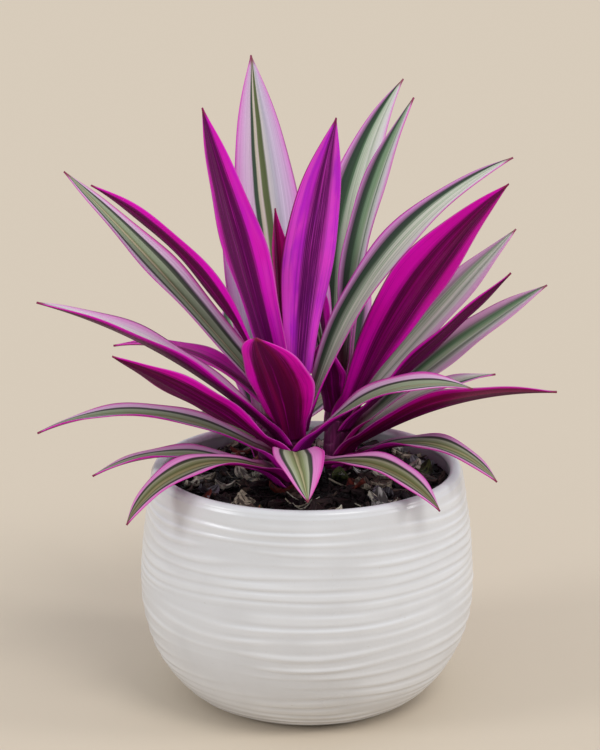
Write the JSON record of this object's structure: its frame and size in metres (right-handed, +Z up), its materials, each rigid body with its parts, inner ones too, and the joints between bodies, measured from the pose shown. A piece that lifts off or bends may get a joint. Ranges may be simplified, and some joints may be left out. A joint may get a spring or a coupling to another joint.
{
  "type": "potted tradescantia",
  "caption": "Clump of tricolor strap-leaved tradescantia rosettes growing in a round ribbed bowl pot of white glazed ceramic.",
  "frame": {"origin": "centre of the pot's flat foot, on the surface that it stands on", "axes": "+Z up along the pot's axis; the front of the plant looks along -Y; +X is to its right in the picture"},
  "size_m": [0.2533, 0.2125, 0.3185],
  "materials": {
    "glaze": "glossy white glaze",
    "mix": "dark potting mix with bark chips",
    "stem": "fleshy purple-green stem",
    "leaf": "satin, striped pink, cream and green above, magenta below"
  },
  "bodies": {
    "root": {"pot": "glaze", "soil": "mix", "main_stem": "stem", "main_leaf_01": "leaf", "main_leaf_02": "leaf", "main_leaf_03": "leaf", "main_leaf_04": "leaf", "main_leaf_05": "leaf", "main_leaf_06": "leaf", "main_leaf_07": "leaf", "main_leaf_08": "leaf", "main_leaf_09": "leaf", "main_leaf_10": "leaf", "main_leaf_11": "leaf", "main_leaf_12": "leaf", "main_leaf_13": "leaf", "main_leaf_14": "leaf", "main_leaf_15": "leaf", "main_leaf_16": "leaf", "main_leaf_17": "leaf", "right_stem": "stem", "right_leaf_01": "leaf", "right_leaf_02": "leaf", "right_leaf_03": "leaf", "right_leaf_04": "leaf", "right_leaf_05": "leaf", "right_leaf_06": "leaf", "right_leaf_07": "leaf", "right_leaf_08": "leaf", "right_leaf_09": "leaf", "right_leaf_10": "leaf", "right_leaf_11": "leaf", "right_leaf_12": "leaf", "right_leaf_13": "leaf", "right_leaf_14": "leaf", "back_stem": "stem", "back_leaf_01": "leaf", "back_leaf_02": "leaf", "back_leaf_03": "leaf", "back_leaf_04": "leaf", "back_leaf_05": "leaf"}
  },
  "joints": []
}
